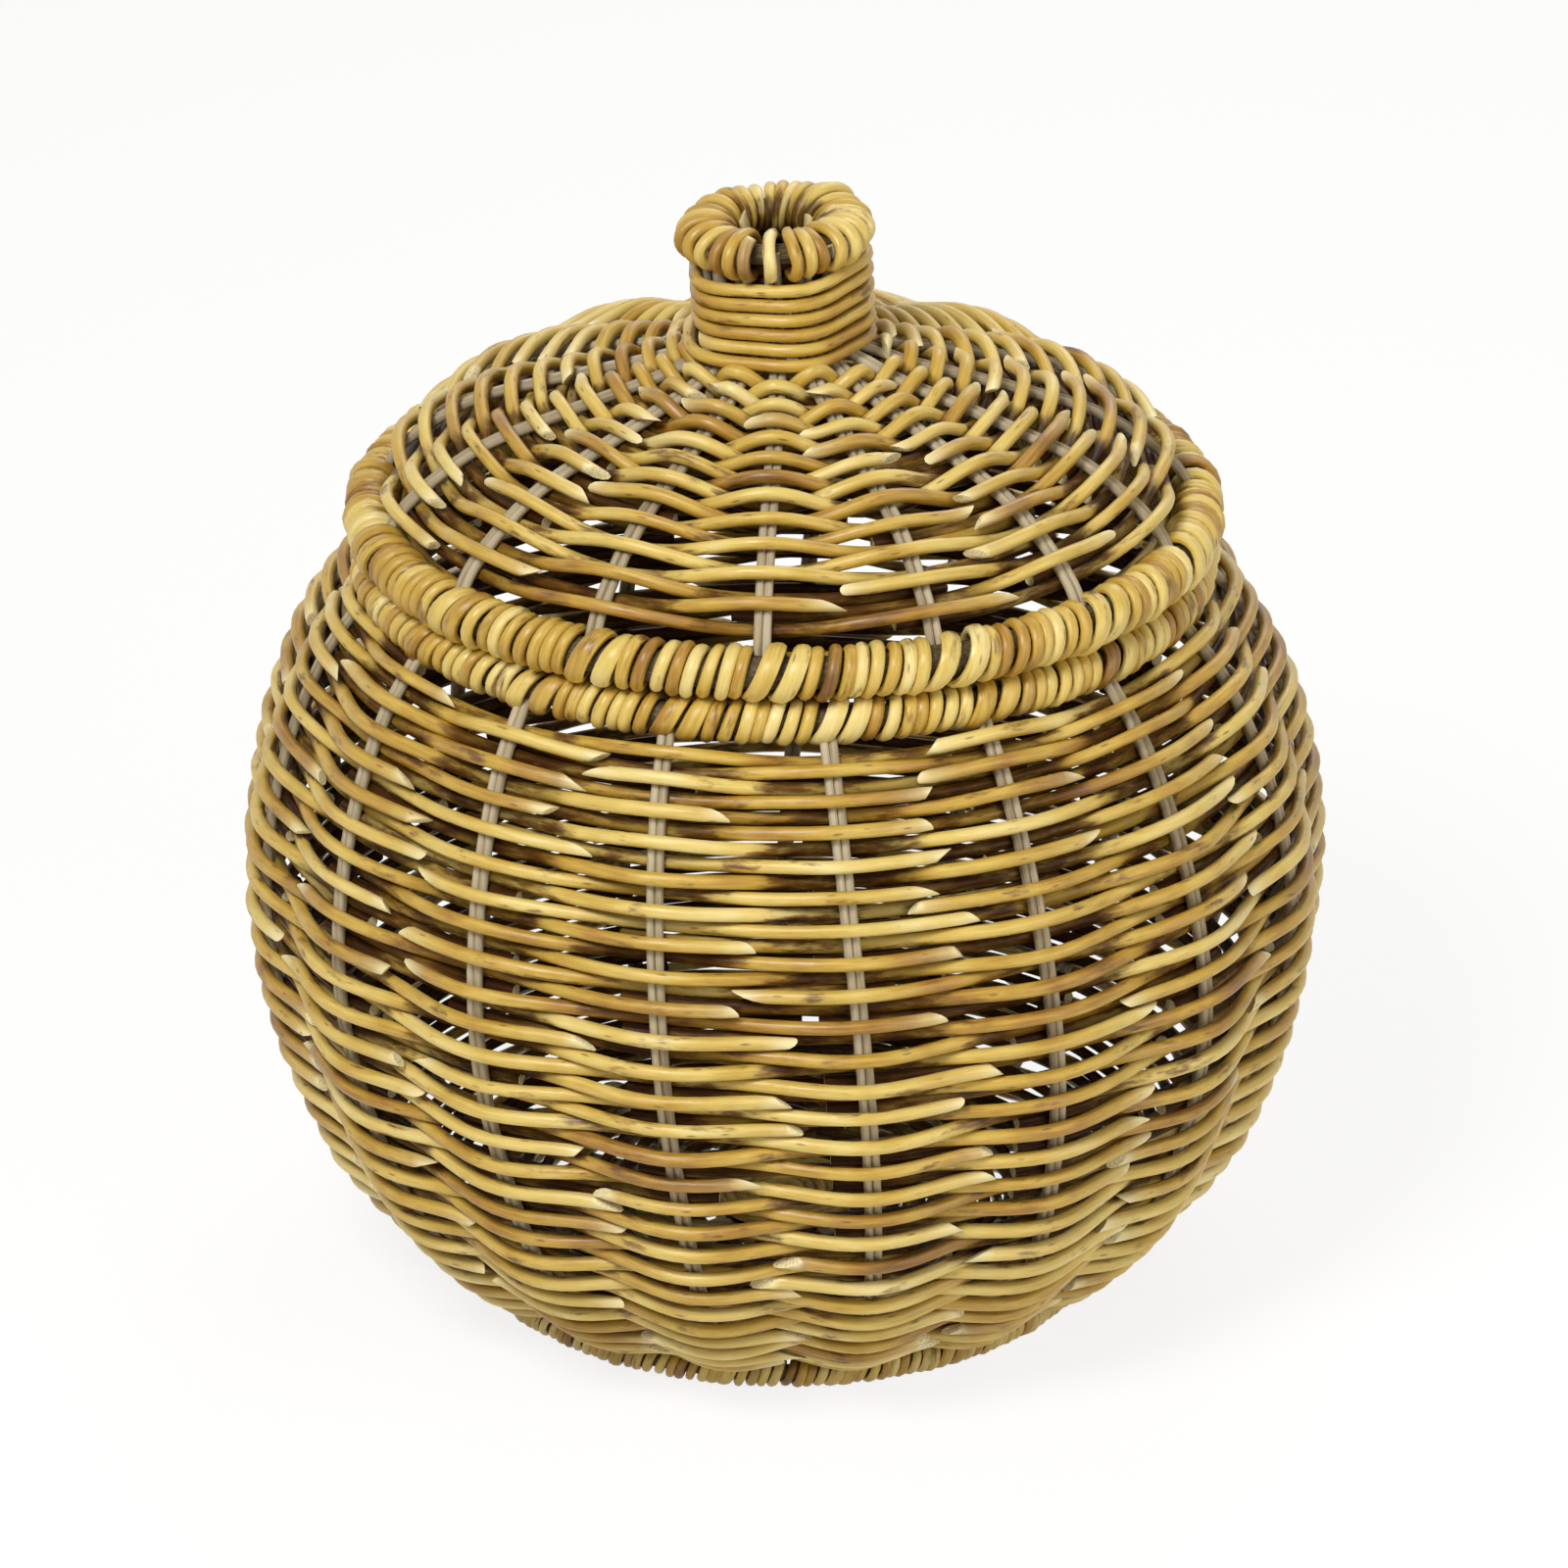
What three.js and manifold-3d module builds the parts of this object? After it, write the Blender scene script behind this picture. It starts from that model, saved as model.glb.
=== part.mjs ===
// A round storage basket with a loose lid, woven from round strands over pairs of thin stakes.
// Millimetres, +Z up. The basket stands on the plane z = 0 and is centred on the Z axis.

import * as THREE from "three";
import { mergeVertices } from "three/addons/utils/BufferGeometryUtils.js";
import Module from "manifold-3d";

const wasm = await Module();
wasm.setup();

// Driving dimensions: the strand, the stakes and the fits
const strand = 5.2;
const stakeRod = 3.7;
const stakePairWidth = 7.4;
const wrapThickness = 3.6;
const seatGap = 0.3;
const stakeCover = 1;

// Driving dimensions: the body
const bodyStakes = 17;
const bodyStakeAzimuth = -81;
const bodyStakeLean = -0.023;
const leanLevel = 148;
const baseCentreRadius = 29.4;
const baseRadius = 129;
const bowlRadius = 158;
const bowlHeight = 41.5;
const flankRadius = 181;
const flankHeight = 77;
const bellyRadius = 203;
const bellyHeight = 155;
const shoulderRadius = 198.5;
const shoulderHeight = 215;
const collarRadius = 178.5;
const collarHeight = 268;
const rimRadius = 157;
const rimHeight = 296;
const rimHoopRod = 9.6;
const rimOpenGap = 4.5;
const footHoopRod = 6.2;
const footInset = 8;
const baseTurnUp = 1;
const tightWeave = 0.45;
const bodyPitch = 5.6;

// Driving dimensions: the lid, with heights above the middle of its rim
const lidStakes = 15;
const lidStakeAzimuth = -93;
const lidOverhang = 0.3;
const lidHoopRod = 12.6;
const lidOpenGap = 4.4;
const lidPitch = 6;
const lidEdgeInset = 8.8;
const lidEdgeRise = 15;
const lidShoulderRadius = 121;
const lidShoulderRise = 35.4;
const lidSlopeRadius = 90;
const lidSlopeRise = 46.2;
const lidCrownRadius = 45;
const lidCrownRise = 59.4;
const lidWeaveInnerRadius = 37.1;
const locatingThickness = 5;
const locatingRise = 3;
const locatingDrop = 17;

// Driving dimensions: the knob
const neckRadius = 35;
const neckFlare = 2.9;
const neckPitch = 5.9;
const neckLoops = 5.1;
const neckFootGap = 1.8;
const neckStartAzimuth = -108;
const neckBendShare = 0.35;
const knobStrand = 4.4;
const knobRadius = 38.2;
const knobHoleRadius = 14;
const knobHeight = 19;
const knobPlaces = 20;
const knobLoops = knobPlaces - 0.5;

// How finely the round shapes are cut
const bodyBands = 7;
const baseCrowding = 1.2;
const neckBendSteps = 2;
const hoopSidesPerStake = 2;
const hoopCorners = 6;
const tubeCorners = 8;
const neckSteps = 24;
const knobSteps = 10;
const knobSides = 5;
const neckSides = 6;
const spineDivisions = 1000;
const woundDivisions = 100;
const samplesPerStep = 4;
const searchPlaces = 400;
const searchHalvings = 30;
const weldDistance = 1e-4;
const nudge = 1e-3;

const quarterTurn = Math.PI / 2;
const peak = stakeRod / 2 + strand;
const valley = strand / 2;
const radians = THREE.MathUtils.degToRad;

const finishes = {
  strand: { color: 0xc39a48, roughness: 0.5, metalness: 0 },
  wrap: { color: 0xcda552, roughness: 0.48, metalness: 0 },
  stake: { color: 0x94805c, roughness: 0.75, metalness: 0 },
  hoop: { color: 0xa98449, roughness: 0.6, metalness: 0 },
};

// Adds a named piece to a group
function addPiece(group, name, geometry, finish) {
  const piece = new THREE.Mesh(geometry, new THREE.MeshStandardMaterial(finishes[finish]));
  piece.name = name;
  group.add(piece);
  return piece;
}

// A closed geometry as a solid that can be cut
function solidOf(geometry) {
  const bare = geometry.clone();
  bare.deleteAttribute("normal");
  bare.deleteAttribute("uv");
  const merged = mergeVertices(bare, weldDistance);
  return new wasm.Manifold(new wasm.Mesh({
    numProp: 3,
    vertProperties: new Float32Array(merged.getAttribute("position").array),
    triVerts: new Uint32Array(merged.getIndex().array),
  }));
}

// A cut solid as a geometry
function geometryOf(solid) {
  const mesh = solid.getMesh();
  const geometry = new THREE.BufferGeometry();
  geometry.setAttribute("position", new THREE.BufferAttribute(mesh.vertProperties, 3));
  geometry.setIndex(new THREE.BufferAttribute(mesh.triVerts, 1));
  geometry.computeVertexNormals();
  return geometry;
}

// A closed outline of [across, up] points turned about the Z axis at a radius
function turned(outline, radius, sides) {
  const closed = [...outline, outline[0]].map(([across, up]) => new THREE.Vector2(radius + across, up));
  return new THREE.LatheGeometry(closed, sides).rotateX(quarterTurn);
}

// The corners of a round rod's section, closed
function rodSection(reach, corners) {
  return Array.from({ length: corners }, (_, i) => {
    const angle = 2 * Math.PI * i / corners;
    return [reach * Math.cos(angle), reach * Math.sin(angle)];
  });
}

// The corners of a round section that is open along a slot; the phase turns its corners by a share of a side
function slottedSection(reach, corners, phase, slotAngle, slotWidth) {
  const half = Math.asin(slotWidth / 2 / reach);
  const fullTurn = 2 * Math.PI;
  const kept = Array.from({ length: corners }, (_, i) => (
    THREE.MathUtils.euclideanModulo(fullTurn * (i + phase) / corners - slotAngle, fullTurn)
  )).filter((past) => past > half + slotEase && past < fullTurn - half - slotEase);
  const turns = [half, ...kept.sort((a, b) => a - b), fullTurn - half];
  return turns.map((past) => [reach * Math.cos(slotAngle + past), reach * Math.sin(slotAngle + past)]);
}

// A smooth curve through [radius, height] points in the XZ plane
function spineThrough(points) {
  const places = points.map(([radius, height]) => new THREE.Vector3(radius, 0, height));
  const spine = new THREE.CatmullRomCurve3(places, false, "centripetal");
  spine.arcLengthDivisions = spineDivisions;
  return spine;
}

// How far along a spine, from 0 to 1, it first passes a radius; outward spines grow, inward ones shrink
function alongAtRadius(spine, radius) {
  const outward = spine.getPointAt(0).x < radius;
  let low = 0;
  let high = 1;
  const passedAt = (along) => {
    const reached = spine.getPointAt(along).x;
    return outward ? reached >= radius : reached <= radius;
  };
  for (let i = 1; i <= searchPlaces; i += 1) {
    if (passedAt(i / searchPlaces)) {
      low = (i - 1) / searchPlaces;
      high = i / searchPlaces;
      break;
    }
  }
  for (let i = 0; i < searchHalvings; i += 1) {
    const middle = (low + high) / 2;
    const passed = passedAt(middle);
    low = passed ? low : middle;
    high = passed ? middle : high;
  }
  return (low + high) / 2;
}

// A route in straight steps between stations on a spine, leaning round the axis as it climbs
class LeaningRoute extends THREE.Curve {
  constructor(spine, stations, leanAt) {
    super();
    this.places = stations.map((along) => {
      const place = spine.getPointAt(along);
      const lean = leanAt(place.z);
      return new THREE.Vector3(place.x * Math.cos(lean), place.x * Math.sin(lean), place.z);
    });
  }

  getPoint(t, target = new THREE.Vector3()) {
    const last = this.places.length - 2;
    const reached = t * (last + 1);
    const step = THREE.MathUtils.clamp(Math.floor(reached), 0, last);
    return target.lerpVectors(this.places[step], this.places[step + 1], reached - step);
  }

  getUtoTmapping(u) {
    return u;
  }

  // Frames that keep a section's width level with the ground, along the weave
  computeFrenetFrames(segments) {
    const frames = { tangents: [], normals: [], binormals: [] };
    for (let i = 0; i <= segments; i += 1) {
      const place = this.getPointAt(i / segments);
      const tangent = this.getTangentAt(i / segments);
      const aside = new THREE.Vector3(-place.y, place.x, 0).normalize();
      const normal = aside.clone().cross(tangent).normalize();
      frames.tangents.push(tangent);
      frames.normals.push(normal);
      frames.binormals.push(tangent.clone().cross(normal));
    }
    return frames;
  }
}

// Stations along a spine, evenly spaced or crowded towards the first of them
function stationsBetween(from, to, count, crowding = 1) {
  return Array.from({ length: count + 1 }, (_, i) => from + (to - from) * (i / count) ** crowding);
}

// The rows of a woven wall as stations, the first and last of them just outside the wall
function stationsPast(rows, length) {
  const past = 2 * seatGap / length;
  return [rows[0] - past, ...rows.slice(1, -1), rows.at(-1) + past];
}

// A flat bar along a route: thickness across the weave and width along it
function barAlong(route, thickness, width) {
  const section = new THREE.Shape([
    new THREE.Vector2(-thickness / 2, -width / 2),
    new THREE.Vector2(thickness / 2, -width / 2),
    new THREE.Vector2(thickness / 2, width / 2),
    new THREE.Vector2(-thickness / 2, width / 2),
  ]);
  return new THREE.ExtrudeGeometry(section, { steps: route.places.length - 1, extrudePath: route });
}

// How far outside a spine a stake lies that runs straight from one station to the next
function stakeOffset(spine, stations, along) {
  const next = Math.max(1, stations.findIndex((station) => station >= along));
  const share = (along - stations[next - 1]) / (stations[next] - stations[next - 1]);
  const straight = spine.getPointAt(stations[next - 1]).lerp(spine.getPointAt(stations[next]), share);
  const aside = straight.sub(spine.getPointAt(along));
  const way = spine.getTangentAt(along);
  return aside.x * way.z - aside.z * way.x;
}

// A woven wall. Outside, one strand spirals up it and swells over every other stake, so the swellings of
// neighbouring rows lie between each other; they are full from the first stake on, and fade out over the
// last turn. Inside, broad bands swell over every stake.
function wovenShell({ spine, rows, stakes, pitch, leanAt, fullnessAt }) {
  const sides = 2 * stakes;
  const first = rows[0];
  const last = rows.at(-1);
  const turns = Math.round((last - first) * spine.getLength() / pitch);
  const climb = (last - first) / turns;
  const fullSwell = (along) => (peak - valley) * fullnessAt(spine.getPointAt(along));
  const strandRows = Array.from({ length: turns + 2 }, (_, row) => (column) => {
    const along = THREE.MathUtils.clamp(first + (row - 1 + column / sides) * climb, first, last);
    const inset = Math.min(1, stakes * (along - first) / climb, (last - along) / climb);
    const cover = stakeOffset(spine, rows, along) + channelThickness / 2 + stakeCover - valley;
    const over = (row + column / 2) % 2 === 0 ? fullSwell(along) : 0;
    return { along, side: 1, swell: column % 2 === 0 ? Math.max(over, cover, 0) * inset : 0 };
  });
  const bands = rows.map((along) => (column) => (
    { along, side: -1, swell: column % 2 === 0 ? fullSwell(along) : 0 }
  ));
  const loop = [...strandRows, ...bands.reverse(), strandRows[0]];
  const profile = loop.map((spotAt) => {
    const place = spine.getPointAt(spotAt(0).along);
    return new THREE.Vector2(place.x, place.z);
  });
  const geometry = new THREE.LatheGeometry(profile, sides);
  const position = geometry.getAttribute("position");
  for (let column = 0; column <= sides; column += 1) {
    loop.forEach((spotAt, index) => {
      const { along, side, swell } = spotAt(column);
      const place = spine.getPointAt(along);
      const way = spine.getTangentAt(along);
      const half = side * (valley + swell);
      const radius = place.x + way.z * half;
      const angle = 2 * Math.PI * column / sides + leanAt(place.z);
      const height = place.z - way.x * half;
      const vertex = column * loop.length + index;
      position.setXYZ(vertex, radius * Math.sin(angle), height, radius * Math.cos(angle));
    });
  }
  return geometry.rotateX(quarterTurn).rotateZ(quarterTurn);
}

// The same geometry at each stake's place round the axis
function aroundAxis(geometry, count, firstAzimuth) {
  return Array.from({ length: count }, (_, i) => (
    geometry.clone().rotateZ(radians(firstAzimuth) + 2 * Math.PI * i / count)
  ));
}

// A geometry less the channels that the stakes need in it
function channelled(geometry, channels) {
  const cut = channels.reduce((solid, channel) => solid.subtract(solidOf(channel)), solidOf(geometry));
  return geometryOf(cut);
}

// A strand wound along a route, straight for one diameter at both ends
class WoundRoute extends THREE.Curve {
  constructor(placeAt, loops, diameter) {
    super();
    this.placeAt = placeAt;
    this.loops = loops;
    this.diameter = diameter;
    this.endShare = 0.01;
    this.arcLengthDivisions = Math.ceil(loops * woundDivisions);
  }

  getPoint(t) {
    const wound = THREE.MathUtils.clamp((t - this.endShare) / (1 - 2 * this.endShare), 0, 1);
    const place = this.placeAt(wound * this.loops);
    const beyond = t < this.endShare ? t / this.endShare - 1 : Math.max(0, (t - 1) / this.endShare + 1);
    const ahead = this.placeAt(wound * this.loops + nudge);
    const behind = this.placeAt(wound * this.loops - nudge);
    const way = ahead.sub(behind).normalize();
    return place.addScaledVector(way, beyond * this.diameter);
  }
}

// A round strand along a wound route; prints the least gap between its own turns
function woundStrand(name, route, stepsPerLoop, sides) {
  const steps = Math.round(route.loops * stepsPerLoop);
  const section = new THREE.Shape(Array.from({ length: sides }, (_, i) => {
    const angle = 2 * Math.PI * i / sides;
    return new THREE.Vector2(Math.cos(angle), Math.sin(angle)).multiplyScalar(route.diameter / 2);
  }));
  const places = route.getSpacedPoints(steps * samplesPerStep);
  const halfLoop = stepsPerLoop * samplesPerStep / 2;
  let nearest = Infinity;
  places.forEach((place, i) => {
    places.slice(i + halfLoop).forEach((other) => {
      nearest = Math.min(nearest, place.distanceTo(other));
    });
  });
  console.log(`${name}: least gap between its turns ${(nearest - route.diameter).toFixed(2)} mm`);
  return new THREE.ExtrudeGeometry(section, { steps, extrudePath: route });
}

// Sizes that follow from the driving ones
const footTube = footHoopRod / 2 + seatGap + wrapThickness;
const rimTube = rimHoopRod / 2 + seatGap + wrapThickness;
const lidTube = lidHoopRod / 2 + seatGap + wrapThickness;
const footRadius = baseRadius - footInset;
const footHeight = footTube * Math.cos(Math.PI / tubeCorners);
const baseEdge = footRadius - 1.5 * seatGap;
const baseHalf = valley + (peak - valley) * tightWeave;
const channelThickness = stakeRod + 2 * seatGap;
const channelWidth = stakePairWidth + 2 * seatGap;
const slotWidth = channelThickness + 4 * seatGap;
const slotEase = radians(8);
const baseHeight = 2 * footHeight + seatGap + baseHalf;

// Body: one spine runs from the middle of the base out, up the wall and into the rim's hoop
const spineLead = 1;
const bodySpine = spineThrough([
  [baseCentreRadius - spineLead, baseHeight],
  [footRadius, baseHeight],
  [baseRadius, baseHeight + baseTurnUp],
  [bowlRadius, bowlHeight],
  [flankRadius, flankHeight],
  [bellyRadius, bellyHeight],
  [shoulderRadius, shoulderHeight],
  [collarRadius, collarHeight],
  [rimRadius, rimHeight],
]);
const bodyLength = bodySpine.getLength();
const bodyLeanAt = (height) => radians(bodyStakeLean * (height - leanLevel));
const bodyRows = stationsBetween(
  alongAtRadius(bodySpine, footRadius + seatGap / 2),
  1 - (rimTube + rimOpenGap) / bodyLength,
  bodyBands,
  baseCrowding,
);
const bodyStakeStart = (spineLead + seatGap) / bodyLength;
const bodyStakeEnd = 1 - (rimHoopRod / 2 + seatGap) / bodyLength;
const bodyStakeRoute = new LeaningRoute(
  bodySpine,
  [bodyStakeStart, ...stationsPast(bodyRows, bodyLength), bodyStakeEnd],
  bodyLeanAt,
);
const bodyStake = barAlong(bodyStakeRoute, stakeRod, stakePairWidth);
const bodyChannel = barAlong(bodyStakeRoute, channelThickness, channelWidth);
const bodyChannels = aroundAxis(bodyChannel, bodyStakes, bodyStakeAzimuth);

const basket = new THREE.Group();
basket.name = "basket";

function addBase() {
  const layer = [
    [baseCentreRadius + seatGap, channelThickness / 2],
    [baseEdge, channelThickness / 2],
    [baseEdge, channelThickness / 2 + strand],
    [baseCentreRadius + seatGap, channelThickness / 2 + strand],
  ];
  addPiece(basket, "base_weave", turned(layer, 0, 2 * bodyStakes), "strand").position.z = baseHeight;
  const centre = new THREE.CylinderGeometry(
    baseCentreRadius - seatGap, baseCentreRadius - seatGap, 2 * baseHalf, 2 * bodyStakes,
  ).rotateX(quarterTurn);
  addPiece(basket, "base_centre", centre, "strand").position.z = baseHeight;
}

// A hoop and the strand wrapped round it, open where the stakes or the binding reach the hoop
function addHoop(group, prefix, { radius, height, rod, slotAngle, phase, sides }) {
  addPiece(group, `${prefix}_hoop`, turned(rodSection(rod / 2, hoopCorners), radius, sides), "hoop")
    .position.z = height;
  const bore = rod / 2 + seatGap;
  const outside = slottedSection(bore + wrapThickness, tubeCorners, phase, slotAngle, slotWidth);
  const inside = slottedSection(bore, hoopCorners, 0, slotAngle, slotWidth);
  const wrap = turned([...outside, ...inside.reverse()], radius, sides);
  addPiece(group, `${prefix}_wrap`, wrap, "wrap").position.z = height;
}

// The way from a rim's hoop to the stakes that reach it
function slotAngleAt(hoop, stakeEnd) {
  return Math.atan2(stakeEnd.z - hoop.z, stakeEnd.x - hoop.x);
}

function addBody() {
  const wall = wovenShell({
    spine: bodySpine,
    rows: bodyRows,
    stakes: bodyStakes,
    pitch: bodyPitch,
    leanAt: bodyLeanAt,
    fullnessAt: ({ z }) => THREE.MathUtils.mapLinear(
      THREE.MathUtils.smoothstep(z, baseHeight, flankHeight), 0, 1, tightWeave, 1,
    ),
  }).rotateZ(radians(bodyStakeAzimuth));
  addPiece(basket, "body_weave", channelled(wall, bodyChannels), "strand");
  for (let i = 0; i < bodyStakes; i += 1) {
    const name = `body_stake_pair_${String(i + 1).padStart(2, "0")}`;
    const stake = addPiece(basket, name, bodyStake, "stake");
    stake.rotation.z = radians(bodyStakeAzimuth) + 2 * Math.PI * i / bodyStakes;
  }
}

// Lid: its spine runs from its rim's hoop up the dome, bends at the neck and climbs to the knob
const lid = new THREE.Group();
lid.name = "lid";
lid.position.z = rimHeight + rimTube + seatGap + lidTube;
basket.add(lid);

const lidRadius = rimRadius + lidOverhang;
const neckCoil = neckRadius - strand / 2;
const neckInside = neckCoil * Math.cos(Math.PI / neckSteps) - strand / 2 - seatGap;
const neckStakeRadius = Math.sqrt(neckInside ** 2 - (stakePairWidth / 2) ** 2) - stakeRod / 2;
const neckStart = lidCrownRise + peak + strand / 2 + neckFootGap;
const neckEnd = neckStart + neckLoops * neckPitch;
const knobHalfWidth = (knobRadius - knobHoleRadius) / 2;
const knobMiddleRadius = (knobRadius + knobHoleRadius) / 2;
const knobShoulder = Math.sqrt(1 - ((neckCoil - knobMiddleRadius) / knobHalfWidth) ** 2) * knobHeight / 2;
const knobLevel = neckEnd + strand / 2 + 2 * seatGap + knobShoulder;
const neckStakeTop = knobLevel - knobHeight / 2 - seatGap;
const bendRise = (neckStart - lidCrownRise) * neckBendShare;
const lidSpine = spineThrough([
  [lidRadius, 0],
  [lidRadius - lidEdgeInset, lidEdgeRise],
  [lidShoulderRadius, lidShoulderRise],
  [lidSlopeRadius, lidSlopeRise],
  [lidCrownRadius, lidCrownRise],
  [(lidCrownRadius + neckStakeRadius) / 2, lidCrownRise + bendRise],
  [neckStakeRadius, neckStart - strand / 2],
  [neckStakeRadius, (neckStart + neckStakeTop) / 2],
  [neckStakeRadius, neckStakeTop],
]);
const lidLength = lidSpine.getLength();
const upright = () => 0;
const lidBandRadii = [
  (lidRadius + lidShoulderRadius) / 2,
  lidShoulderRadius,
  lidSlopeRadius,
  lidCrownRadius,
  lidWeaveInnerRadius,
];
const lidRows = [
  (lidTube + lidOpenGap) / lidLength,
  ...lidBandRadii.map((radius) => alongAtRadius(lidSpine, radius)),
];
const lidHoopDip = lidRadius * (1 - Math.cos(Math.PI / (lidStakes * hoopSidesPerStake)));
const lidStakeStart = (lidHoopRod / 2 + seatGap + lidHoopDip) / lidLength;
const lidBend = stationsBetween(
  lidRows.at(-1),
  alongAtRadius(lidSpine, neckStakeRadius + seatGap),
  neckBendSteps,
).slice(1);
const lidStakeRoute = new LeaningRoute(
  lidSpine,
  [lidStakeStart, ...stationsPast(lidRows, lidLength), ...lidBend, 1],
  upright,
);
const lidStake = barAlong(lidStakeRoute, stakeRod, stakePairWidth);
const lidChannel = barAlong(lidStakeRoute, channelThickness, channelWidth);
const lidChannels = aroundAxis(lidChannel, lidStakes, lidStakeAzimuth);

function addLid() {
  const dome = wovenShell({
    spine: lidSpine,
    rows: lidRows,
    stakes: lidStakes,
    pitch: lidPitch,
    leanAt: upright,
    fullnessAt: () => 1,
  }).rotateZ(radians(lidStakeAzimuth));
  addPiece(lid, "lid_weave", channelled(dome, lidChannels), "strand");
  for (let i = 0; i < lidStakes; i += 1) {
    const name = `lid_stake_pair_${String(i + 1).padStart(2, "0")}`;
    const stake = addPiece(lid, name, lidStake, "stake");
    stake.rotation.z = radians(lidStakeAzimuth) + 2 * Math.PI * i / lidStakes;
  }
}

// The band inside the lid's rim that keeps the lid from sliding off the basket
function addLocatingBand() {
  const outside = lidRadius - lidTube - seatGap;
  const inside = outside - locatingThickness;
  const band = turned([
    [inside, -locatingDrop],
    [outside, -locatingDrop],
    [outside, locatingRise],
    [inside, locatingRise],
  ], 0, lidStakes * hoopSidesPerStake);
  addPiece(lid, "lid_locating_band", band, "hoop");
}

function addKnob() {
  const neckFirstTurn = radians(neckStartAzimuth);
  const neckRoute = new WoundRoute((loop) => {
    const flare = neckFlare * Math.max(0, 1 - loop) ** 2;
    const angle = neckFirstTurn + 2 * Math.PI * loop;
    const reach = neckCoil + flare;
    return new THREE.Vector3(reach * Math.cos(angle), reach * Math.sin(angle), neckStart + neckPitch * loop);
  }, neckLoops, strand);
  const neck = woundStrand("knob_neck_winding", neckRoute, neckSteps, neckSides);
  addPiece(lid, "knob_neck_winding", neck, "wrap");

  const loopWidth = knobHalfWidth - knobStrand / 2;
  const loopHeight = knobHeight / 2 - knobStrand / 2;
  const knobRoute = new WoundRoute((loop) => {
    const turn = 2 * Math.PI * loop;
    const angle = 2 * Math.PI * loop / knobPlaces;
    const reach = knobMiddleRadius + loopWidth * Math.cos(turn);
    const height = loopHeight * Math.sin(turn);
    return new THREE.Vector3(reach * Math.cos(angle), reach * Math.sin(angle), height);
  }, knobLoops, knobStrand);
  const winding = woundStrand("knob_ring_winding", knobRoute, knobSteps, knobSides);
  addPiece(lid, "knob_ring_winding", winding, "wrap").position.z = knobLevel;

  const slack = loopWidth * (1 - Math.cos(Math.PI / knobSteps)) + seatGap;
  const coreWidth = loopWidth - knobStrand / 2 - slack;
  const coreHeight = loopHeight - knobStrand / 2 - slack;
  const core = rodSection(1, hoopCorners).map(([across, up]) => [across * coreWidth, up * coreHeight]);
  addPiece(lid, "knob_ring_core", turned(core, knobMiddleRadius, knobPlaces), "hoop").position.z = knobLevel;
}

addBase();
addHoop(basket, "foot", {
  radius: footRadius,
  height: footHeight,
  rod: footHoopRod,
  slotAngle: Math.PI,
  phase: 0.5,
  sides: bodyStakes * hoopSidesPerStake,
});
addBody();
addHoop(basket, "rim", {
  radius: rimRadius,
  height: rimHeight,
  rod: rimHoopRod,
  slotAngle: slotAngleAt(bodySpine.getPointAt(1), bodySpine.getPointAt(bodyStakeEnd)),
  phase: 0,
  sides: bodyStakes * hoopSidesPerStake,
});
addLid();
addHoop(lid, "lid_rim", {
  radius: lidRadius,
  height: 0,
  rod: lidHoopRod,
  slotAngle: slotAngleAt(lidSpine.getPointAt(0), lidSpine.getPointAt(lidStakeStart)),
  phase: 0,
  sides: lidStakes * hoopSidesPerStake,
});
addLocatingBand();
addKnob();

export default basket;
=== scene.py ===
"""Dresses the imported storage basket: its running strands, paired stakes, wrapped hoops and wound knob.

Lengths are in millimetres until a mesh is made. The weave of each wall is one running spiral that
passes over and under the stakes in turn, cut into the lengths that a weaver joins.
"""
import math
import random

import bpy
import numpy as np
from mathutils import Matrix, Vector


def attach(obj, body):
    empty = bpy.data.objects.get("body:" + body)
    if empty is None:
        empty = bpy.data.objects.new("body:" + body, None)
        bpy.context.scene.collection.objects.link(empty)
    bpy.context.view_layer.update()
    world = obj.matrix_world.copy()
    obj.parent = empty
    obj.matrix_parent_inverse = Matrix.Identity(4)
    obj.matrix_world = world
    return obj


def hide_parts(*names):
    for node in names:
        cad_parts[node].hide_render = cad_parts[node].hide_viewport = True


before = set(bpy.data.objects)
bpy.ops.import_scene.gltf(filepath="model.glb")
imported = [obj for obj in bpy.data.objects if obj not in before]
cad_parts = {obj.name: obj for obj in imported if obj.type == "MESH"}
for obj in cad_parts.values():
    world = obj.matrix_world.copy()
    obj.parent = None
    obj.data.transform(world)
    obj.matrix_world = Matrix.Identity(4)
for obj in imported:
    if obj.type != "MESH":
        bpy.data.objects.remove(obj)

SEED = 41
MM = 0.001
TURN = 2 * math.pi
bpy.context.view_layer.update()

# The camera stands at the photograph's place
CAMERA_PLACE = (0.0, -3.0992, 1.6198)
CAMERA_AIM = (0.0, 0.0, 0.1987)
CAMERA_LENS = 202.5
CAMERA_SENSOR = 36

# Strands and stakes, how finely they are drawn, and how far one strand may differ from the next
STRAND = 5.4
STRAND_SIDES = 10
THIN_SIDES = 8
WOUND_SIDES = 12
STEPS_PER_STAKE = 12
LEAST_STEPS = 8
SPINE_STEPS = 600
CURVE_STEPS = 400
SMOOTH_ANGLE = 50
STAKE_ROD = 3.7
STAKE_WIDTH = 3.4
STAKE_SPACING = 3.2
STAKE_STEPS = 64
SIZE_SPREAD = (0.91, 1.07)
REACH_SPREAD = (0.97, 1.06)
DRIFT = 0.35
WANDER = 0.55
WANDER_RATES = (0.9, 1.5)

# Shade in the weave: on the inside of a strand, where it dips under a stake, and at a hidden end
INSIDE_SHADE = 0.55
DIP_FROM = 0.35
DIP_SPAN = 0.9
DIP_SHADES = (0.4, 1.0)
HIDDEN_SHADE = 0.9
HIDDEN_REACH = 0.35

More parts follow.
